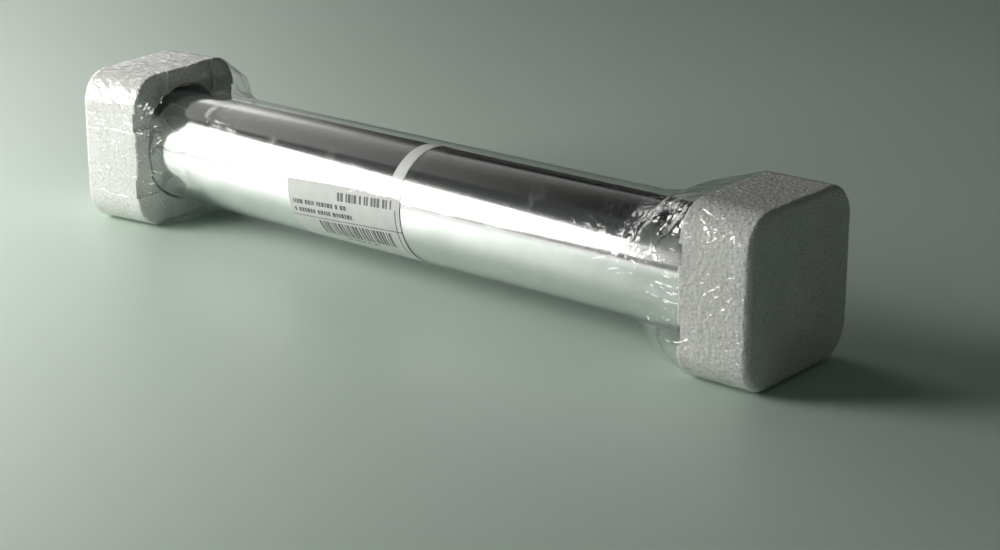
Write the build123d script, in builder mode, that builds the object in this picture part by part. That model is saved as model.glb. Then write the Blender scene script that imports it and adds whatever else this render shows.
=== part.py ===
"""Catering roll of aluminium foil, packed between two foam end caps in clear shrink film.

X runs along the roll, Y from the front to the back and Z up.  The origin is on the floor, under
the middle of the whole pack.  Sizes are in millimetres and angles in degrees.

From the inside out: a cardboard core, the foil wound on it, a paper band round the foil, a paper
label stuck over the band, a square foam cap on each end of the roll, and the shrink film.  The pack
stands on the flat undersides of the caps, and the left cap sits a little askew on the roll.
"""

import os
from math import cos, radians, sin, tan

from build123d import *

os.makedirs("parts", exist_ok=True)

# Core and foil
core_radius = 16.0
core_wall = 2.0
core_length = 450.0
foil_radius = 31.6
foil_width = 440.0
winding_fit = 0.05  # between the core and the first turn of foil

# End caps
cap_side = 90.0
cap_depth = 41.0
cap_corner = 18.3
cap_end_round = 3.5
cap_rim_round = 1.5
cap_end_wall = 10.0
left_cap_turn = 6.8  # about the vertical, so the cap's back moves outwards

# Socket in each cap, narrower towards its floor
socket_clearance = 1.7  # round the foil, at the socket's floor
socket_draft = 3.0
socket_end_gap = 0.2
roll_drop = 1.5  # the roll lies this far under the caps' axis

# Notches across each cap's rim, two on every side
notch_pitch = 40.0
notch_width = 11.0
notch_depth = 2.2

# Paper band and label
paper_fit = 0.05
band_thickness = 0.15
band_width = 8.0
band_offset = -1.8  # from the middle of the roll
label_thickness = 0.2
label_length = 83.0
label_height = 56.0  # measured round the roll
label_offset = -35.5  # from the middle of the roll
label_angle = -32.0  # of the label's middle: 0 is the front and 90 the top
label_skew = 3.7

# Shrink film
film_thickness = 0.3
film_gap = 0.1
film_slack = 2.55  # how much further the film stands off the foil's top than off its underside
film_flat = 0.5  # half of each short flat in the sleeve's nearly round section
film_opening_radius = 22.5
film_opening_side = 8.0  # the opening's middle lies behind the cap's axis
film_opening_drop = 2.4
tent_steps = ((0.0, 1.0), (20.0, 0.65), (31.0, 0.2), (45.0, 0.0))  # distance from the cap, flare

# Worked out from the sizes above
film_skin = film_gap + film_thickness
cap_axis_z = film_skin + cap_side / 2
roll_axis_z = cap_axis_z - roll_drop
socket_depth = cap_depth - cap_end_wall
socket_floor_radius = foil_radius + socket_clearance
socket_mouth_radius = socket_floor_radius + socket_depth * tan(radians(socket_draft))
foil_bore_radius = core_radius + winding_fit
band_radius = foil_radius + paper_fit
label_radius = band_radius + band_thickness + paper_fit
sleeve_rise = film_slack / 2
sleeve_radius = label_radius + label_thickness + film_gap + sleeve_rise

# Reach of the pack from the middle of the roll: its right end face, and the back edge of the left
# cap's end, which the turn carries outwards
turn = radians(left_cap_turn)
core_reach = core_length / 2 + socket_end_gap
right_end = core_reach + cap_end_wall
right_reach = right_end + film_skin
left_end = core_reach + core_radius * tan(turn) + cap_end_wall * cos(turn)
end_round_reach = cap_side / 2 - cap_end_round
left_reach = left_end - cap_end_round * cos(turn) + end_round_reach * sin(turn)
left_reach += cap_end_round + film_skin
roll_x = (left_reach - right_reach) / 2

# The turned cap lies where it reaches as far to the back, at its rim, as to the front, at its end
back_reach = cap_depth * sin(turn) + (cap_side / 2 + film_skin) * cos(turn)
front_reach = end_round_reach * cos(turn) - cap_end_round * sin(turn) + cap_end_round + film_skin
left_end_y = (front_reach - back_reach) / 2

# Each cap's plane lies on its end face, with its normal along the cap towards the roll
right_seat = Plane(
    origin=(roll_x + right_end, 0, cap_axis_z),
    x_dir=(0, -1, 0),
    z_dir=(-1, 0, 0),
)
left_seat = Plane(
    origin=(roll_x - left_end, left_end_y, cap_axis_z),
    x_dir=(-sin(turn), cos(turn), 0),
    z_dir=(cos(turn), sin(turn), 0),
)


def along_roll(x, rise=0.0):
    """Plane across the roll at a distance x from its middle, centred on the roll's axis."""
    return Plane(origin=(roll_x + x, 0, roll_axis_z + rise), x_dir=(0, 1, 0), z_dir=(1, 0, 0))


def end_cap(seat):
    """Foam cap: a square block with round corners, a tapered socket and notches in its rim."""
    along = Axis(seat.origin, seat.z_dir)
    with BuildPart() as cap:
        with BuildSketch(seat):
            RectangleRounded(cap_side, cap_side, cap_corner)
        extrude(amount=cap_depth)
        fillet(cap.faces().sort_by(along)[0].edges(), radius=cap_end_round)
        fillet(cap.faces().sort_by(along)[-1].edges(), radius=cap_rim_round)
        with BuildSketch(seat.offset(cap_depth)):
            Circle(socket_mouth_radius)
        extrude(amount=-socket_depth, taper=socket_draft, mode=Mode.SUBTRACT)
        with BuildSketch(seat.offset(cap_depth)):
            with GridLocations(notch_pitch, 0, 2, 1):
                Rectangle(notch_width, cap_side)
            with GridLocations(0, notch_pitch, 1, 2):
                Rectangle(cap_side, notch_width)
        extrude(amount=-notch_depth, mode=Mode.SUBTRACT)
    return cap.part


def tent_section(seat, distance, flare, grow):
    """Film's outline between a cap and the sleeve: flare is 1 at the cap and 0 at the sleeve."""
    rim = seat.offset(cap_depth)
    far = Vector(roll_x + tent_end_x(seat), 0, roll_axis_z + sleeve_rise)
    share = distance / tent_steps[-1][0]
    middle = rim.origin * (1 - share) + far * share
    lean = turn * (1 - share) if seat is left_seat else 0.0
    inwards = 1 if seat is left_seat else -1
    half = flare * (cap_side / 2 + film_gap) + (1 - flare) * sleeve_radius + grow
    corner = flare * (cap_corner + film_gap) + (1 - flare) * (sleeve_radius - film_flat) + grow
    plane = Plane(
        origin=middle,
        x_dir=(-inwards * sin(lean), inwards * cos(lean), 0),
        z_dir=(inwards * cos(lean), inwards * sin(lean), 0),
    )
    with BuildSketch(plane) as section:
        RectangleRounded(2 * half, 2 * half, corner)
    return section.sketch


def tent_end_x(seat):
    """Distance from the roll's middle to where a tent meets the sleeve."""
    rim_x = seat.offset(cap_depth).origin.X - roll_x
    inwards = 1 if seat is left_seat else -1
    return rim_x + inwards * tent_steps[-1][0]


def film_box(seat, grow):
    """Rounded box that the film makes over one cap, from its end face to its rim."""
    side = cap_side + 2 * (film_gap + grow)
    with BuildPart() as box:
        with BuildSketch(seat.offset(-film_gap - grow)):
            RectangleRounded(side, side, cap_corner + film_gap + grow)
        extrude(amount=cap_depth + film_gap + grow)
        end_face = box.faces().sort_by(Axis(seat.origin, seat.z_dir))[0]
        fillet(end_face.edges(), radius=cap_end_round + film_gap + grow)
    return box.part


def film_tent(seat, grow):
    """Slope that the film makes from one cap's rim down to the sleeve."""
    sections = [tent_section(seat, distance, flare, grow) for distance, flare in tent_steps]
    with BuildPart() as tent:
        loft(sections, ruled=True)
    return tent.part


def film_form(grow):
    """Solid that fills the film: a box over each cap, a tent beside it and the sleeve between."""
    seats = (left_seat, right_seat)
    ends = [film_box(seat, grow) for seat in seats] + [film_tent(seat, grow) for seat in seats]
    sleeve_side = 2 * (sleeve_radius + grow)
    with BuildPart() as form:
        add(ends)
        with BuildSketch(along_roll(tent_end_x(left_seat), sleeve_rise)):
            RectangleRounded(sleeve_side, sleeve_side, sleeve_radius - film_flat + grow)
        extrude(amount=tent_end_x(right_seat) - tent_end_x(left_seat))
    return form.part


# Cardboard core
with BuildPart() as cardboard_core:
    with BuildSketch(along_roll(-core_length / 2)):
        Circle(core_radius)
        Circle(core_radius - core_wall, mode=Mode.SUBTRACT)
    extrude(amount=core_length)
cardboard_core.part.label = "cardboard_core"

# Foil, all its turns in one piece
with BuildPart() as foil_winding:
    with BuildSketch(along_roll(-foil_width / 2)):
        Circle(foil_radius)
        Circle(foil_bore_radius, mode=Mode.SUBTRACT)
    extrude(amount=foil_width)
foil_winding.part.label = "foil_winding"

# Paper band round the foil
with BuildPart() as paper_band:
    with BuildSketch(along_roll(band_offset - band_width / 2)):
        Circle(band_radius + band_thickness)
        Circle(band_radius, mode=Mode.SUBTRACT)
    extrude(amount=band_width)
paper_band.part.label = "paper_band"

# Paper label, stuck a little askew over the band
label_facing = radians(label_angle)
label_plane = Plane(
    origin=(roll_x + label_offset, 0, roll_axis_z),
    x_dir=(1, 0, 0),
    z_dir=(0, -cos(label_facing), sin(label_facing)),
)
label_half_chord = label_radius * sin(label_height / label_radius / 2)
with BuildPart() as paper_label:
    with BuildSketch(along_roll(label_offset - label_length)):
        Circle(label_radius + label_thickness)
        Circle(label_radius, mode=Mode.SUBTRACT)
    extrude(amount=2 * label_length)
    with BuildSketch(label_plane):
        Rectangle(label_length, 2 * label_half_chord, rotation=label_skew)
    extrude(amount=foil_radius * 2, mode=Mode.INTERSECT)
paper_label.part.label = "paper_label"

# Foam end caps
left_end_cap = end_cap(left_seat)
left_end_cap.label = "left_end_cap"
right_end_cap = end_cap(right_seat)
right_end_cap.label = "right_end_cap"

# Shrink film, open in the middle of each end face
film_outside = film_form(film_thickness)
film_inside = film_form(0.0)
with BuildPart() as shrink_film:
    add(film_outside)
    add(film_inside, mode=Mode.SUBTRACT)
    for seat, side_sign in ((left_seat, 1), (right_seat, -1)):
        with BuildSketch(seat):
            with Locations((side_sign * film_opening_side, -film_opening_drop)):
                Circle(film_opening_radius)
        extrude(amount=-2 * film_skin, mode=Mode.SUBTRACT)
shrink_film.part.label = "shrink_film"

for piece in (
    cardboard_core.part,
    foil_winding.part,
    paper_band.part,
    paper_label.part,
    left_end_cap,
    right_end_cap,
    shrink_film.part,
):
    export_step(piece, f"parts/{piece.label}.step")
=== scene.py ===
"""Looks of the aluminium foil roll: foil, paper, foam caps and wrinkled shrink film.

Lengths are in metres, in the CAD frame: X along the roll, the front at -Y, Z up.
"""

from math import cos, pi, radians, sin, tau

import bmesh
import bpy
import numpy as np
from mathutils import Matrix, Vector


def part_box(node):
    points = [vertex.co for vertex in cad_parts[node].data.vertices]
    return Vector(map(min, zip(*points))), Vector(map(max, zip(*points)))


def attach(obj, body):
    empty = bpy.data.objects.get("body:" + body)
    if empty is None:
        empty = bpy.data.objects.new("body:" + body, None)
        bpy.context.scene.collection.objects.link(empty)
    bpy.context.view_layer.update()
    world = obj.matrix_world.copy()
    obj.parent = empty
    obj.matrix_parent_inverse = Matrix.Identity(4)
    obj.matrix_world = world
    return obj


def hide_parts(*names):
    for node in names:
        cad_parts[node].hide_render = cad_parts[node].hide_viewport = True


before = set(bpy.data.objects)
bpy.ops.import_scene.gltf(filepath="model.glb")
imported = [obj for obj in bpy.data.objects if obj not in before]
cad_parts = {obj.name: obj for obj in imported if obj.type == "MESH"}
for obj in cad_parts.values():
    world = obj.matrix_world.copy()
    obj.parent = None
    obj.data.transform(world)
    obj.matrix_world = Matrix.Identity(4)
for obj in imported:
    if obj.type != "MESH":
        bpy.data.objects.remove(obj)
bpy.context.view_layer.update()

MM = 0.001
SEED = 7

# Sizes that the frame holds
foil_low, foil_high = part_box("foil_winding")
AXIS_Y = (foil_low.y + foil_high.y) / 2
AXIS_Z = (foil_low.z + foil_high.z) / 2
FOIL_RADIUS = (foil_high.z - foil_low.z) / 2
core_low, core_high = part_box("cardboard_core")
CORE_RADIUS = (core_high.z - core_low.z) / 2
label_low, label_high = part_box("paper_label")
cap_low, cap_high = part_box("right_end_cap")
left_cap_low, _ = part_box("left_end_cap")
CAP_HALF = (cap_high.z - cap_low.z) / 2
CAP_DEPTH = cap_high.x - cap_low.x
CAP_AXIS_Z = (cap_high.z + cap_low.z) / 2

# Sizes that the boxes don't show
CAP_CORNER = 18.3 * MM
CAP_END_ROUND = 3.5 * MM
LEFT_CAP_TURN = radians(6.8)
WINDING_FIT = 0.05 * MM  # between the core and the first turn of foil
LABEL_OFF = 0.40 * MM  # from the foil to the label's outside
FILM_OFF = 0.25 * MM  # from a cap to the middle of the film
SLEEVE_RADIUS = 33.4 * MM
SLEEVE_RISE = 1.275 * MM  # the film hangs clear over the top of the roll
TENT_LENGTH = 45 * MM
OPENING_RADIUS = 22.5 * MM
OPENING_BACK = 8 * MM
OPENING_DROP = 2.4 * MM


# ---------------------------------------------------------------- nodes and meshes


def new_material(name):
    material = bpy.data.materials.new(name)
    material.use_nodes = True
    material.node_tree.nodes.clear()
    return material, material.node_tree


def add_node(tree, kind, inputs=None, **settings):
    """New node with its settings, and its inputs given as values or as sockets to link."""
    node = tree.nodes.new(kind)
    for key, value in settings.items():
        setattr(node, key, value)
    for key, value in (inputs or {}).items():
        if isinstance(value, bpy.types.NodeSocket):
            tree.links.new(value, node.inputs[key])
        else:
            node.inputs[key].default_value = value
    return node


def ramp(tree, factor, stops):
    """Colour ramp over factor, with (position, grey or colour) stops."""
    node = add_node(tree, "ShaderNodeValToRGB", {"Fac": factor})
    elements = node.color_ramp.elements
    while len(elements) < len(stops):
        elements.new(0.5)
    for element, (position, colour) in zip(elements, stops):
        element.position = position
        element.color = (*colour, 1) if isinstance(colour, tuple) else (colour, colour, colour, 1)
    return node.outputs["Color"]


def math_node(tree, operation, *values, clamp=False):
    inputs = dict(enumerate(values))
    return add_node(tree, "ShaderNodeMath", inputs, operation=operation, use_clamp=clamp).outputs[0]


def object_place(tree, scale=(1, 1, 1)):
    """Object coordinates in millimetres, stretched by scale."""
    place = add_node(tree, "ShaderNodeTexCoord").outputs["Object"]
    stretch = [s / MM for s in scale]
    return add_node(tree, "ShaderNodeMapping", {"Vector": place, "Scale": stretch}).outputs["Vector"]


def noise(tree, place, scale, detail=3.0, roughness=0.5, distortion=0.0):
    inputs = {
        "Vector": place,
        "Scale": scale,
        "Detail": detail,
        "Roughness": roughness,
        "Distortion": distortion,
    }
    return add_node(tree, "ShaderNodeTexNoise", inputs).outputs["Fac"]


def bump(tree, height, distance, strength=1.0, normal=None):
    inputs = {"Height": height, "Distance": distance, "Strength": strength}
    if normal is not None:
        inputs["Normal"] = normal
    return add_node(tree, "ShaderNodeBump", inputs).outputs["Normal"]


def finish_material(tree, shader):
    add_node(tree, "ShaderNodeOutputMaterial", {"Surface": shader})


def finish_principled(material, tree, inputs):
    """Close a material with a Principled shader that takes the inputs."""
    shader = add_node(tree, "ShaderNodeBsdfPrincipled", inputs)
    finish_material(tree, shader.outputs[0])
    return material


def grid_mesh(name, points, wrap, materials, face_slots=None):
    """Smooth mesh object over rows x columns x 3 points.

    wrap joins the last column to the first, and face_slots gives each face's material.
    """
    rows, columns, _ = points.shape
    index = np.arange(rows * columns).reshape(rows, columns)
    right = np.roll(index, -1, axis=1) if wrap else index[:, 1:]
    left = index if wrap else index[:, :-1]
    quads = np.stack([left[:-1], right[:-1], right[1:], left[1:]], axis=-1).reshape(-1, 4)
    mesh = bpy.data.meshes.new(name)
    mesh.from_pydata(points.reshape(-1, 3).tolist(), [], quads.tolist())
    for material in materials:
        mesh.materials.append(material)
    mesh.polygons.foreach_set("use_smooth", [True] * len(mesh.polygons))
    if face_slots is not None:
        mesh.polygons.foreach_set("material_index", face_slots)
    mesh.update()
    piece = bpy.data.objects.new(name, mesh)
    bpy.context.scene.collection.objects.link(piece)
    return piece


def vertex_array(mesh, what="co"):
    values = np.zeros(len(mesh.vertices) * 3)
    if what == "co":
        mesh.vertices.foreach_get("co", values)
    else:
        mesh.vertex_normals.foreach_get("vector", values)
    return values.reshape(-1, 3)


def smoothstep(low, high, values):
    t = np.clip((values - low) / (high - low), 0, 1)
    return t * t * (3 - 2 * t)


# ---------------------------------------------------------------- materials


def foil_material():
    """Bright rolled foil: mirror-like, with hairlines along it and a few dull smudges."""
    material, tree = new_material("rolled_foil")
    place = object_place(tree)
    along = object_place(tree, (0.02, 1.0, 1.0))
    hairlines = noise(tree, along, 1.6, detail=6.0, roughness=0.7)
    lines = ramp(tree, hairlines, ((0.50, 0.0), (0.62, 0.35), (0.72, 1.0)))
    cloud = noise(tree, place, 0.045, detail=5.0, roughness=0.6, distortion=0.6)
    smudge = ramp(tree, cloud, ((0.54, 0.0), (0.74, 1.0)))
    roughness = math_node(tree, "MULTIPLY_ADD", smudge, 0.14, 0.13)
    roughness = math_node(tree, "MULTIPLY_ADD", lines, 0.06, roughness)
    tint = ramp(tree, cloud, ((0.35, (0.93, 0.94, 0.94)), (0.75, (0.84, 0.86, 0.86))))
    waves = noise(tree, place, 0.05, detail=2.0)
    normal = bump(tree, waves, 0.03 * MM, 0.10)
    normal = bump(tree, hairlines, 0.01 * MM, 0.25, normal)
    inputs = {"Base Color": tint, "Metallic": 1.0, "Roughness": roughness, "Normal": normal}
    return finish_principled(material, tree, inputs)


def foam_material():
    """White moulded foam: beads pressed together, with small pits where they meet, and painted shade
    darkening those pits.
    """
    material, tree = new_material("white_foam")
    place = object_place(tree)
    inputs = {"Vector": place, "Scale": 0.42, "Randomness": 0.9}
    cells = add_node(tree, "ShaderNodeTexVoronoi", inputs, feature="DISTANCE_TO_EDGE")
    seams = ramp(tree, cells.outputs["Distance"], ((0.0, 0.0), (0.10, 0.75), (0.3, 1.0)))
    grain = noise(tree, place, 1.4, detail=4.0, roughness=0.6)
    patches = noise(tree, place, 0.03, detail=3.0)
    colour = ramp(tree, patches, ((0.3, (0.80, 0.80, 0.775)), (0.7, (0.86, 0.86, 0.835))))
    # Painted shade: the foam's colour is darkened to 0.72 in the seams between the beads, where shade
    # falls in the pits
    seam_shade = ramp(tree, seams, ((0.0, 0.72), (0.7, 1.0)))
    full, first, second, result = 0, 6, 7, 2  # the Mix node's sockets for colours
    inputs = {full: 1.0, first: colour, second: seam_shade}
    mixed = add_node(tree, "ShaderNodeMix", inputs, data_type="RGBA", blend_type="MULTIPLY")
    height = math_node(tree, "MULTIPLY_ADD", grain, 0.5, seams)
    normal = bump(tree, height, 0.12 * MM, 0.6)
    roughness = math_node(tree, "MULTIPLY_ADD", grain, 0.2, 0.55)
    inputs = {"Base Color": mixed.outputs[result], "Roughness": roughness, "Normal": normal}
    return finish_principled(material, tree, inputs)


def paper_material(name, low, high, gloss):
    """Paper with fibres: low and high are its darkest and lightest tone."""
    material, tree = new_material(name)
    place = object_place(tree)
    fibres = noise(tree, object_place(tree, (0.6, 1.0, 1.0)), 3.0, detail=5.0, roughness=0.65)
    cloud = noise(tree, place, 0.12, detail=3.0)
    mixed = math_node(tree, "MULTIPLY_ADD", fibres, 0.4, cloud)
    colour = ramp(tree, mixed, ((0.45, low), (0.95, high)))
    normal = bump(tree, fibres, 0.04 * MM, 0.4)
    roughness = math_node(tree, "MULTIPLY_ADD", fibres, 0.2, gloss)
    inputs = {"Base Color": colour, "Roughness": roughness, "Normal": normal}
    return finish_principled(material, tree, inputs)


def card_material():
    """Brown core board with its spiral wrap."""
    material, tree = new_material("core_card")
    place = object_place(tree)
    fibres = noise(tree, place, 1.8, detail=6.0, roughness=0.7)
    inputs = {"Vector": object_place(tree, (1.0, 0.4, 0.4)), "Scale": 0.02}
    wrap = add_node(tree, "ShaderNodeTexWave", inputs)
    mixed = math_node(tree, "MULTIPLY_ADD", wrap.outputs["Fac"], 0.25, fibres)
    colour = ramp(tree, mixed, ((0.3, (0.34, 0.25, 0.16)), (0.9, (0.50, 0.39, 0.27))))
    normal = bump(tree, fibres, 0.06 * MM, 0.5)
    inputs = {"Base Color": colour, "Roughness": 0.85, "Normal": normal}
    return finish_principled(material, tree, inputs)


def drawn_creases(tree, stretch, scale):
    """Thin lines, 1 on a line and 0 beside it, where stretched noise crosses its middle."""
    drawn = noise(tree, object_place(tree, stretch), scale, detail=1.0, distortion=1.0)
    aside = math_node(tree, "ABSOLUTE", math_node(tree, "SUBTRACT", drawn, 0.5))
    return math_node(tree, "SUBTRACT", 1.0, math_node(tree, "MULTIPLY", aside, 22.0), clamp=True)


def film_material():
    """Clear shrink film, one thin sheet: it mirrors a little, more at a glance and by the caps."""
    material, tree = new_material("clear_film")
    place = object_place(tree)
    along = add_node(tree, "ShaderNodeSeparateXYZ", {"Vector": place}).outputs["X"]
    outwards = math_node(tree, "ABSOLUTE", along)
    span, end_face = 250.0, 233.0  # millimetres from the pack's middle
    near_cap = ramp(tree, math_node(tree, "DIVIDE", outwards, span), ((0.45, 0.08), (0.66, 1.0)))
    on_end_face = math_node(tree, "GREATER_THAN", outwards, end_face)

    # Mirror share
    facing = add_node(tree, "ShaderNodeLayerWeight", {"Blend": 0.5}).outputs["Facing"]
    glance = math_node(tree, "POWER", facing, 5.0)
    facing_mirror = math_node(tree, "MULTIPLY_ADD", near_cap, 0.055, 0.032)
    mirror = math_node(tree, "MULTIPLY_ADD", glance, 0.85, facing_mirror, clamp=True)

    # Crinkles and thin creases by the caps, and whorls on the end faces
    stretched = object_place(tree, (0.45, 1.0, 0.8))
    crinkle = noise(tree, stretched, 0.24, detail=3.0, roughness=0.5, distortion=0.9)
    normal = bump(tree, math_node(tree, "MULTIPLY", crinkle, near_cap), 1.1 * MM, 0.55)
    for stretch, scale, depth in (((0.30, 1.0, 0.7), 0.06, 0.30), ((0.8, 0.35, 1.1), 0.07, 0.25)):
        height = math_node(tree, "MULTIPLY", drawn_creases(tree, stretch, scale), near_cap)
        normal = bump(tree, height, depth * MM, 0.9, normal)
    inputs = {"Vector": place, "Scale": 0.16, "Distortion": 9.0, "Detail": 2.0, "Detail Scale": 0.35}
    kinds = {"wave_type": "RINGS", "rings_direction": "X"}
    whorls = add_node(tree, "ShaderNodeTexWave", inputs, **kinds).outputs["Fac"]
    height = math_node(tree, "MULTIPLY", whorls, on_end_face)
    normal = bump(tree, height, 0.4 * MM, 0.9, normal)

    clear = add_node(tree, "ShaderNodeBsdfTransparent", {"Color": (0.985, 0.985, 0.98, 1)})
    inputs = {"Color": (1, 1, 1, 1), "Roughness": 0.09, "Normal": normal}
    gloss = add_node(tree, "ShaderNodeBsdfGlossy", inputs)
    inputs = {0: mirror, 1: clear.outputs[0], 2: gloss.outputs[0]}
    mix = add_node(tree, "ShaderNodeMixShader", inputs)
    finish_material(tree, mix.outputs[0])
    return material


def floor_material():
    """Plain pale floor with a satin finish."""
    material, tree = new_material("pale_floor")
    place = add_node(tree, "ShaderNodeTexCoord").outputs["Object"]
    cloud = noise(tree, place, 3.0, detail=4.0)
    colour = ramp(tree, cloud, ((0.3, (0.61, 0.73, 0.65)), (0.7, (0.63, 0.75, 0.67))))
    inputs = {"Base Color": colour, "Roughness": 0.48, "Specular IOR Level": 1.0}
    return finish_principled(material, tree, inputs)


# ---------------------------------------------------------------- foil


def roll_ring(x, radius, angle):
    """Points round the roll's axis: angle 0 is the front and 90 degrees the top."""
    return np.stack([x, AXIS_Y - radius * np.cos(angle), AXIS_Z + radius * np.sin(angle)], -1)


def foil_piece(material):
    """The wound foil as one closed ring, a little wavy, with the lap of its last turn at the back."""
    around, along = 240, 120
    theta = np.linspace(0, tau, around, endpoint=False)
    x = np.linspace(foil_low.x, foil_high.x, along)
    grid_x, grid_t = np.meshgrid(x, theta, indexing="ij")
    inset = 0.03
    wave = 0.004 * np.sin(grid_x / 0.021 + 3 * np.sin(grid_t)) * np.sin(2 * grid_t + 1.3)
    wave += 0.002 * np.sin(grid_x / 0.0083 + 2.1 * np.cos(2 * grid_t))
    lap_angle, lap_run, lap_height = radians(150), 0.04, 0.05
    lap = lap_height * (1 - smoothstep(0, lap_run, (grid_t - lap_angle) % tau))
    skin = roll_ring(grid_x, FOIL_RADIUS + (wave - inset + lap) * MM, grid_t)
    bore_radius = CORE_RADIUS + WINDING_FIT
    left_bore = roll_ring(grid_x[:1], bore_radius, grid_t[:1])
    right_bore = roll_ring(grid_x[-1:], bore_radius, grid_t[-1:])
    points = np.concatenate([left_bore, skin, right_bore, left_bore])
    return grid_mesh("foil_turns", points, True, [material])


# ---------------------------------------------------------------- foam caps


BEAD_SIZE = 2.6 * MM
BEAD_DEPTH = 0.32 * MM


def cell_height(points, size, rng_seed):
    """Height of pressed foam beads at each point: 0 in the seams and up to 1 on a bead."""
    prime_x, prime_y, prime_z = 73856093, 19349663, 83492791  # they hash a cell's place
    cell = points / size
    base = np.floor(cell).astype(np.int64)
    nearest = np.full(len(points), 9.0)
    second = np.full(len(points), 9.0)
    for dx in (-1, 0, 1):
        for dy in (-1, 0, 1):
            for dz in (-1, 0, 1):
                corner = base + (dx, dy, dz)
                mixed = corner[:, 0] * prime_x ^ corner[:, 1] * prime_y ^ corner[:, 2] * prime_z
                spots = []
                for k in (1, 2, 3):
                    hashed = (mixed * (2654435761 + 97 * k) + rng_seed * 7919 * k) & 0xFFFFFFFF
                    hashed = (hashed ^ (hashed >> 15)) * 2246822519 & 0xFFFFFFFF
                    spots.append((hashed ^ (hashed >> 13)) % 10007 / 10007)
                distance = np.linalg.norm(corner + np.stack(spots, -1) - cell, axis=1)
                second = np.minimum(second, np.maximum(nearest, distance))
                nearest = np.minimum(nearest, distance)
    return smoothstep(0.0, 0.45, second - nearest)


def foam_cap(name, node, material, seed):
    """Copy of the CAD cap, remeshed fine enough to carry the foam's beads and keep its notches."""
    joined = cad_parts[node].data.copy()
    shell = bmesh.new()
    shell.from_mesh(joined)
    bmesh.ops.remove_doubles(shell, verts=shell.verts, dist=0.001 * MM)
    shell.to_mesh(joined)
    shell.free()
    rough = bpy.data.objects.new(name + "_rough", joined)
    bpy.context.scene.collection.objects.link(rough)
    modifier = rough.modifiers.new("fine", "REMESH")
    modifier.mode = "SHARP"
    modifier.octree_depth = 7
    modifier.scale = 0.99
    modifier.use_remove_disconnected = False
    graph = bpy.context.evaluated_depsgraph_get()
    mesh = bpy.data.meshes.new_from_object(rough.evaluated_get(graph))
    bpy.data.objects.remove(rough)
    mesh.name = name
    co, normals = vertex_array(mesh), vertex_array(mesh, "normal")
    beads = cell_height(co, BEAD_SIZE, seed)
    co += normals * ((beads - 1) * BEAD_DEPTH)[:, None]
    mesh.vertices.foreach_set("co", co.ravel())
    mesh.polygons.foreach_set("use_smooth", [True] * len(mesh.polygons))
    mesh.set_sharp_from_angle(angle=radians(50))
    mesh.materials.clear()
    mesh.materials.append(material)
    mesh.update()
    piece = bpy.data.objects.new(name, mesh)
    bpy.context.scene.collection.objects.link(piece)
    return piece


# ---------------------------------------------------------------- label


LABEL_RADIUS = FOIL_RADIUS + LABEL_OFF
LABEL_BEND = LABEL_RADIUS - 0.05 * MM  # the radius that the label's height is measured at
LABEL_LENGTH = 83.0  # these two are in millimetres, as the print is
LABEL_HEIGHT = 56.0
LABEL_ANGLE = radians(-32)
LABEL_SKEW = radians(3.7)


def label_print():
    """Rectangles of print, in millimetres from the label's lower left corner: x, y, width, height."""
    rng = np.random.default_rng(SEED)
    marks = []

    def words(x, y, end, height):
        while x < end:
            width = rng.uniform(0.9, 2.4)
            marks.append((x, y, min(width, end - x), height))
            x += width + rng.choice([0.5, 0.5, 0.5, 1.9])

    words(37.5, 46.9, 78, 4.8)
    words(3.0, 42.0, 44, 2.6)
    words(3.0, 37.0, 47, 2.6)
    marks.append((0.0, 34.2, LABEL_LENGTH, 0.5))
    x = 19.0
    while x < 74.0:
        width = rng.choice([0.8, 1.2, 1.8])
        marks.append((x, 22.5, width, 10.3))
        x += width + rng.choice([0.6, 0.9, 1.3])
    words(34, 19.6, 60, 1.5)
    marks.append((79.4, 18.5, 0.8, 28.0))
    return marks


def label_piece(paper, ink):
    """Thin paper sheet bent round the roll, its grid cut along the edges of the print."""
    marks = label_print()
    xs = {0.0, LABEL_LENGTH}
    ys = {0.0, LABEL_HEIGHT}
    for x, y, width, height in marks:
        xs.update((round(x, 3), round(min(x + width, LABEL_LENGTH), 3)))
        ys.update((round(y, 3), round(y + height, 3)))
    xs.update(np.arange(0, LABEL_LENGTH, 2.0).tolist())
    ys.update(np.arange(0, LABEL_HEIGHT, 1.0).tolist())
    xs, ys = np.array(sorted(xs)), np.array(sorted(ys))
    grid_y, grid_x = np.meshgrid(ys, xs, indexing="ij")
    middle_x = (xs[1:] + xs[:-1]) / 2
    middle_y = (ys[1:] + ys[:-1]) / 2
    printed = np.zeros((len(middle_y), len(middle_x)), bool)
    for x, y, width, height in marks:
        in_x = (middle_x > x) & (middle_x < x + width)
        in_y = (middle_y > y) & (middle_y < y + height)
        printed |= in_y[:, None] & in_x[None, :]
    u = (grid_x - LABEL_LENGTH / 2) * MM
    v = (grid_y - LABEL_HEIGHT / 2) * MM
    run = u * cos(LABEL_SKEW) - v * sin(LABEL_SKEW)
    climb = u * sin(LABEL_SKEW) + v * cos(LABEL_SKEW)
    angle = LABEL_ANGLE + climb / LABEL_BEND
    sheet = roll_ring((label_low.x + label_high.x) / 2 + run, LABEL_RADIUS, angle)
    return grid_mesh("printed_label", sheet, False, [paper, ink], printed.ravel().astype(int))


# ---------------------------------------------------------------- shrink film


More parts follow.
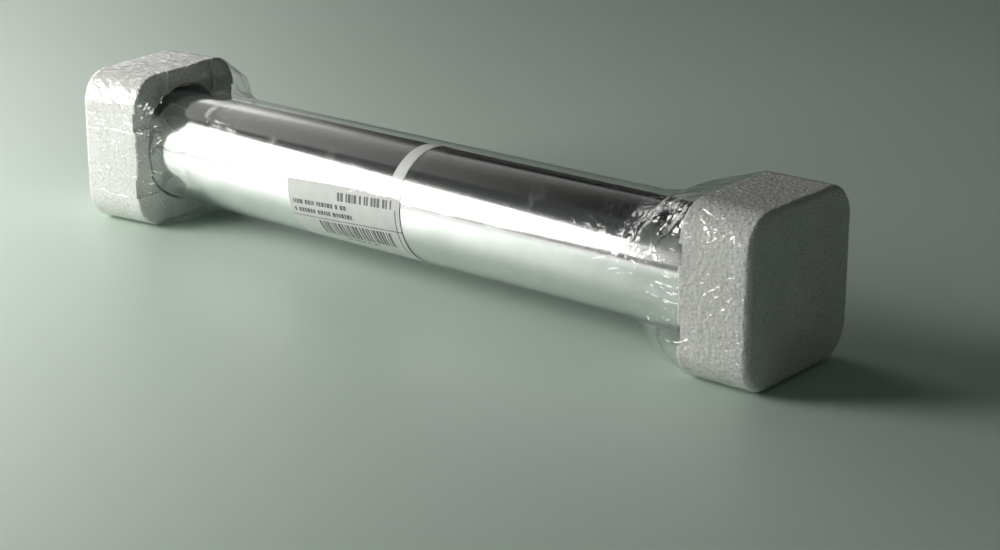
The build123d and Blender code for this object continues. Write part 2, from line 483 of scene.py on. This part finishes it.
FILM_COLUMNS = 352
END_ROWS, BEND_ROWS, SIDE_ROWS, TENT_ROWS, SLEEVE_ROWS = 22, 7, 30, 46, 60
SECTIONS = {  # first row, counted from the opening, and number of rows
    "end": (0, END_ROWS),
    "bend": (END_ROWS, BEND_ROWS),
    "side": (END_ROWS + BEND_ROWS, SIDE_ROWS),
    "tent": (END_ROWS + BEND_ROWS + SIDE_ROWS, TENT_ROWS),
    "sleeve": (END_ROWS + BEND_ROWS + SIDE_ROWS + TENT_ROWS, SLEEVE_ROWS),
}
TENT_SHARES = (0, 0.44, 0.69, 1)  # of the way from a cap's rim to the sleeve
TENT_FLARES = (1.0, 0.65, 0.2, 0.0)  # there: 1 is the rim's outline and 0 the sleeve's
FLOOR_GAP = 0.05 * MM
CREASE_BOUND = 1.6 * MM
WALL_DEPTH = 7 * MM  # film further than this from a crease's line is another wall
TIGHT_DENT = 0.05 * MM  # how far the film may sink where it lies on a cap


def seat_frame(side):
    """Cap's frame: the middle of its end face, the way to the roll and the level way to the back."""
    if side > 0:
        origin = Vector((cap_high.x, 0, CAP_AXIS_Z))
        return origin, Vector((-1, 0, 0)), Vector((0, 1, 0))
    turn = LEFT_CAP_TURN
    reach = left_cap_low.x + CAP_END_ROUND * cos(turn) - CAP_END_ROUND
    origin_x = reach + (CAP_HALF - CAP_END_ROUND) * sin(turn)
    front_reach = (CAP_HALF - CAP_END_ROUND) * cos(turn) - CAP_END_ROUND * sin(turn) + CAP_END_ROUND
    origin = Vector((origin_x, left_cap_low.y + front_reach, CAP_AXIS_Z))
    return origin, Vector((cos(turn), sin(turn), 0)), Vector((-sin(turn), cos(turn), 0))


def rounded_square(theta, half, corner):
    """Points of a square with round corners, to the front and up, at angles from 0 at the front."""
    c, s = np.abs(np.cos(theta)), np.abs(np.sin(theta))
    inner = half - corner
    flat = half / np.maximum(c, s)
    along = inner * (c + s)
    inside = along**2 - (2 * inner**2 - corner**2)
    curved = along + np.sqrt(np.maximum(inside, 0))
    on_corner = np.minimum(c, s) * flat > inner
    radius = np.where(on_corner, curved, flat)
    return radius * np.cos(theta), radius * np.sin(theta)


def cap_place(side, depth, front, height):
    """Points in a cap's frame: depth from its end face, front and height from its axis."""
    origin, inwards, back = seat_frame(side)
    return (
        np.array(origin)
        + np.multiply.outer(np.broadcast_to(depth, front.shape), np.array(inwards))
        - np.multiply.outer(front, np.array(back))
        + np.multiply.outer(height, np.array((0.0, 0.0, 1.0)))
    )


def cap_rows(side, theta):
    """Film over one cap, from its opening across the end face and along its sides to the rim."""
    half, corner = CAP_HALF + FILM_OFF, CAP_CORNER + FILM_OFF
    bend = CAP_END_ROUND + FILM_OFF
    face = rounded_square(theta, half - bend, corner - bend)
    hole = (
        OPENING_RADIUS * np.cos(theta) - OPENING_BACK,
        OPENING_RADIUS * np.sin(theta) - OPENING_DROP,
    )
    rows = []
    for s in np.linspace(0, 1, END_ROWS, endpoint=False):
        front, height = ((1 - s) * h + s * f for h, f in zip(hole, face))
        rows.append(cap_place(side, -FILM_OFF, front, height))
    for s in np.linspace(0, pi / 2, BEND_ROWS, endpoint=False):
        grow = bend * sin(s)
        outline = rounded_square(theta, half - bend + grow, corner - bend + grow)
        rows.append(cap_place(side, -FILM_OFF + bend * (1 - cos(s)), *outline))
    outline = rounded_square(theta, half, corner)
    for depth in np.linspace(bend - FILM_OFF, CAP_DEPTH, SIDE_ROWS, endpoint=False):
        rows.append(cap_place(side, depth, *outline))
    return rows


def tent_rows(side, theta):
    """Film from one cap's rim down to the sleeve, and the ring where it meets the sleeve."""
    outline = rounded_square(theta, CAP_HALF + FILM_OFF, CAP_CORNER + FILM_OFF)
    rim = cap_place(side, CAP_DEPTH, *outline)
    cap_end = cap_high.x if side > 0 else seat_frame(side)[0].x
    ring = np.stack(
        [
            np.full(len(theta), cap_end - side * (CAP_DEPTH + TENT_LENGTH)),
            AXIS_Y - SLEEVE_RADIUS * np.cos(theta),
            AXIS_Z + SLEEVE_RISE + SLEEVE_RADIUS * np.sin(theta),
        ],
        -1,
    )
    rows = []
    for s in np.linspace(0, 1, TENT_ROWS, endpoint=False):
        flare = float(np.interp(s, TENT_SHARES, TENT_FLARES))
        row = ring * (1 - flare) + rim * flare
        row[:, 0] = rim[:, 0] * (1 - s) + ring[:, 0] * s
        rows.append(row)
    return rows, ring


def film_rows():
    """Plain form of the film, from one end face's opening to the other's: rows x columns x 3."""
    theta = np.linspace(0, tau, FILM_COLUMNS, endpoint=False)
    left_tent, left_ring = tent_rows(-1, theta)
    right_tent, right_ring = tent_rows(1, theta)
    sleeve = [left_ring * (1 - s) + right_ring * s for s in np.linspace(0, 1, SLEEVE_ROWS)]
    left_half = cap_rows(-1, theta) + left_tent
    right_half = cap_rows(1, theta) + right_tent
    return np.array(left_half + sleeve + right_half[::-1])


def grid_normals(points):
    """Outward unit normals of the film's grid."""
    around = np.roll(points, -1, axis=1) - np.roll(points, 1, axis=1)
    along = np.gradient(points, axis=0)
    normals = np.cross(along, around)
    return normals / np.maximum(np.linalg.norm(normals, axis=-1, keepdims=True), 1e-12)


def film_creases(rng):
    """Creases of the film: side, start, end, height and width, the last two in millimetres.

    A start or an end is a section of the film, a share of its rows and degrees round the roll.
    """
    creases = []
    for side in (-1, 1):
        for corner in (45, 135, 225, 315):
            # Folds down the tent from a corner of the cap
            for _ in range(12):
                start = corner + rng.normal(0, 15)
                end = start + rng.normal(0, 9)
                height = rng.choice([-1, 1]) * rng.uniform(0.3, 1.0)
                creases.append(
                    (
                        side,
                        ("tent", rng.uniform(0.0, 0.25), start),
                        ("tent", rng.uniform(0.55, 1.0), end),
                        height,
                        rng.uniform(1.8, 4.0),
                    )
                )
            # Faint creases along the cap's sides
            for _ in range(12):
                start = corner + rng.normal(0, 12)
                share = rng.uniform(0.0, 0.7)
                slant = rng.normal(0, 9)
                creases.append(
                    (
                        side,
                        ("side", share, start),
                        ("side", min(share + rng.uniform(0.2, 0.5), 1.0), start + slant),
                        rng.uniform(0.08, 0.22),
                        rng.uniform(1.0, 2.0),
                    )
                )
        # Short creases across the end face
        for _ in range(26):
            start = rng.uniform(0, 360)
            creases.append(
                (
                    side,
                    ("end", rng.uniform(0.1, 0.6), start),
                    ("end", rng.uniform(0.7, 1.0), start + rng.normal(0, 8)),
                    rng.uniform(0.1, 0.35),
                    rng.uniform(0.6, 1.2),
                )
            )
    # The main creases, listed one by one
    creases += [
        (1, ("tent", 0.02, 55), ("tent", 0.95, 8), 1.5, 3.2),
        (1, ("tent", 0.02, 46), ("tent", 0.70, 18), -1.5, 3.4),
        (1, ("tent", 0.03, 38), ("tent", 0.65, 0), 1.4, 3.0),
        (1, ("tent", 0.05, 26), ("tent", 0.85, -16), 1.3, 2.6),
        (1, ("tent", 0.02, 64), ("tent", 0.80, 45), 1.2, 2.6),
        (1, ("side", 0.55, 47), ("side", 0.95, 40), 0.35, 0.7),
        (1, ("side", 0.05, 8), ("side", 0.25, -14), 0.30, 0.6),
        (-1, ("tent", 0.02, 40), ("tent", 0.75, 62), 1.2, 1.3),
        (-1, ("tent", 0.02, -22), ("tent", 0.55, -50), 0.9, 0.9),
        (-1, ("tent", 0.10, -25), ("tent", 0.80, -62), 0.9, 0.9),
        (-1, ("tent", 0.05, 20), ("tent", 0.60, 2), 0.8, 1.2),
        (-1, ("side", 0.05, 50), ("side", 0.85, 30), 0.45, 0.9),
        (-1, ("side", 0.10, 42), ("side", 0.70, 26), 0.40, 0.8),
        (-1, ("side", 0.15, 57), ("side", 0.98, 38), 0.40, 0.8),
        (-1, ("side", 0.02, 33), ("side", 0.35, 12), 0.40, 0.9),
    ]
    # Fine creases where the left tent runs into the sleeve
    for _ in range(34):
        start = rng.uniform(20, 110)
        creases.append(
            (
                -1,
                ("tent", rng.uniform(0.55, 0.9), start),
                ("sleeve", rng.uniform(0.05, 0.30), start + rng.normal(0, 6)),
                rng.uniform(0.08, 0.22),
                rng.uniform(0.5, 0.9),
            )
        )
    return creases


def film_spot(points, side, section, share, degrees_round):
    """Point of the film's grid at a share of one section's rows and an angle round the roll."""
    first, count = SECTIONS[section]
    row = first + share * count
    if side > 0:
        row = len(points) - 1 - row
    column = int(round(degrees_round / 360 * points.shape[1])) % points.shape[1]
    return points[int(round(row)), column]


def press_creases(points, normals, creases):
    """How far the creases lift the film along its normals, in metres."""
    rise = np.zeros(points.shape[:2])
    for side, start, end, height, width in creases:
        a, b = film_spot(points, side, *start), film_spot(points, side, *end)
        length = np.linalg.norm(b - a)
        reach = (3 * width + 2) * MM
        low, high = np.minimum(a, b) - reach, np.maximum(a, b) + reach
        near = np.all((points > low) & (points < high), axis=-1)
        spots, facing = points[near], normals[near]
        share = np.clip((spots - a) @ (b - a) / length**2, 0, 1)
        gap = spots - (a + share[:, None] * (b - a))
        depth = np.einsum("ij,ij->i", gap, facing)
        beside = np.sqrt(np.maximum(np.einsum("ij,ij->i", gap, gap) - depth**2, 0))
        profile = np.exp(-((beside / (width * MM)) ** 2)) * np.sin(pi * share) ** 0.6
        profile[np.abs(depth) > WALL_DEPTH] = 0
        rise[near] += height * MM * profile
    return rise


def film_piece(material):
    """The film as one sheet: its plain form with the creases pressed in."""
    points = film_rows()
    normals = grid_normals(points)
    rise = press_creases(points, normals, film_creases(np.random.default_rng(SEED)))
    first_tent = SECTIONS["tent"][0]
    tight = np.ones(len(points), bool)
    tight[first_tent:-first_tent] = False
    rise[tight] = np.maximum(rise[tight], -TIGHT_DENT)
    points = points + normals * np.clip(rise, -CREASE_BOUND, CREASE_BOUND)[..., None]
    points[..., 2] = np.maximum(points[..., 2], FLOOR_GAP)
    return grid_mesh("shrink_wrap", points, True, [material])


# ---------------------------------------------------------------- pieces

foil = foil_piece(foil_material())
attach(foil, "root")
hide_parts("foil_winding")

foam = foam_material()
for cap_name, cap_node, cap_seed in (
    ("left_foam_cap", "left_end_cap", 11),
    ("right_foam_cap", "right_end_cap", 23),
):
    cap = foam_cap(cap_name, cap_node, foam, cap_seed)
    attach(cap, "root")
    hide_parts(cap_node)

label_paper = paper_material("label_stock", (0.66, 0.67, 0.66), (0.76, 0.77, 0.76), 0.5)
label_ink = paper_material("label_ink", (0.10, 0.10, 0.10), (0.17, 0.17, 0.17), 0.55)
label = label_piece(label_paper, label_ink)
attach(label, "root")
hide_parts("paper_label")

band_paper = paper_material("band_stock", (0.80, 0.81, 0.80), (0.90, 0.91, 0.90), 0.45)
for node, material in (("paper_band", band_paper), ("cardboard_core", card_material())):
    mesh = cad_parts[node].data
    mesh.materials.clear()
    mesh.materials.append(material)

film = film_piece(film_material())
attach(film, "root")
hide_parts("shrink_film")


# ---------------------------------------------------------------- stage, light and camera


def floor_piece():
    """Plain square floor, 12 m wide."""
    size = 6.0
    corners = [(-size, -size, 0), (size, -size, 0), (size, size, 0), (-size, size, 0)]
    mesh = bpy.data.meshes.new("floor")
    mesh.from_pydata(corners, [], [(0, 1, 2, 3)])
    mesh.materials.append(floor_material())
    floor = bpy.data.objects.new("floor", mesh)
    bpy.context.scene.collection.objects.link(floor)


def light_card(name, corners, strength, glow):
    """Emitting sheet between four corners, the lower left first and round by the lower right.

    glow gives its shine, 0 to 1, from the shares of the way across and up.
    """
    low_left, low_right, high_right, high_left = (np.array(corner) for corner in corners)
    shares = np.linspace(0, 1, 25)
    low = low_left + (low_right - low_left) * shares[:, None]
    high = high_left + (high_right - high_left) * shares[:, None]
    points = np.array([low * (1 - t) + high * t for t in shares])
    across, up = np.meshgrid(shares, shares)
    material, tree = new_material(name + "_cloth")
    shine = add_node(tree, "ShaderNodeAttribute", attribute_name="shine").outputs["Fac"]
    power = math_node(tree, "MULTIPLY", shine, strength)
    emission = add_node(tree, "ShaderNodeEmission", {"Color": (1, 0.99, 0.96, 1), "Strength": power})
    finish_material(tree, emission.outputs[0])
    card = grid_mesh(name, points, False, [material])
    attribute = card.data.attributes.new("shine", "FLOAT", "POINT")
    attribute.data.foreach_set("value", glow(across, up).ravel().astype(np.float32))
    card.visible_camera = False


def key_glow(across, up):
    """Key panel: dimmer by the left cap, faded out at its right end and along its top."""
    level = (0.72 + 0.28 * smoothstep(0.0, 0.5, across)) * (1 - smoothstep(0.66, 1.0, across))
    return level * (1 - 0.9 * smoothstep(0.72, 1.0, up))


def back_glow(across, up):
    """Back card: strongest in the middle of its height and faded out to the right."""
    level = (0.3 + 0.7 * smoothstep(0.05, 0.45, up)) * (1 - smoothstep(0.45, 0.95, up))
    return (1 - smoothstep(0.08, 0.78, across)) * level


def fill_glow(across, up):
    """Front fill: faded out along its top."""
    return 1 - smoothstep(0.6, 1.0, up)


def top_glow(across, up):
    """Top card: faded out to the right."""
    return 1 - smoothstep(0.30, 0.98, across)


floor_piece()
light_card(
    "key_panel",
    [(-0.82, -0.67, 0.05), (-0.49, -0.98, 0.32), (-0.48, -0.79, 0.66), (-0.90, -0.19, 0.70)],
    14.0,
    key_glow,
)
light_card(
    "back_card",
    [(-1.70, 0.10, 0.02), (-0.75, 1.35, 0.02), (-0.75, 1.35, 1.20), (-1.70, 0.10, 1.20)],
    5.4,
    back_glow,
)
light_card(
    "front_fill",
    [(-0.70, -0.42, 0.01), (-0.15, -0.90, 0.01), (-0.15, -0.90, 0.13), (-0.70, -0.42, 0.10)],
    0.9,
    fill_glow,
)
light_card(
    "top_card",
    [(-1.70, -0.20, 0.85), (-0.25, -0.20, 0.85), (-0.25, 1.20, 0.85), (-1.70, 1.20, 0.85)],
    0.34,
    top_glow,
)

world = bpy.data.worlds.new("studio")
bpy.context.scene.world = world
world.use_nodes = True
background = world.node_tree.nodes["Background"].inputs
background["Color"].default_value = (0.80, 0.92, 0.86, 1)
background["Strength"].default_value = 0.045

CAMERA_AT = Vector((0.7674, -0.8636, 0.3873))
CAMERA_YAW = radians(-39.667)
CAMERA_PITCH = radians(18.460)
CAMERA_ROLL = radians(0.095)
CAMERA_LENS = 79.57

camera_data = bpy.data.cameras.new("camera")
camera_data.lens = CAMERA_LENS
camera_data.sensor_width = 36
camera = bpy.data.objects.new("camera", camera_data)
bpy.context.scene.collection.objects.link(camera)
look = Matrix.Rotation(-CAMERA_YAW, 4, "Z") @ Matrix.Rotation(pi / 2 - CAMERA_PITCH, 4, "X")
camera.matrix_world = Matrix.Translation(CAMERA_AT) @ look @ Matrix.Rotation(-CAMERA_ROLL, 4, "Z")
bpy.context.scene.camera = camera
bpy.context.scene.view_settings.view_transform = "Standard"
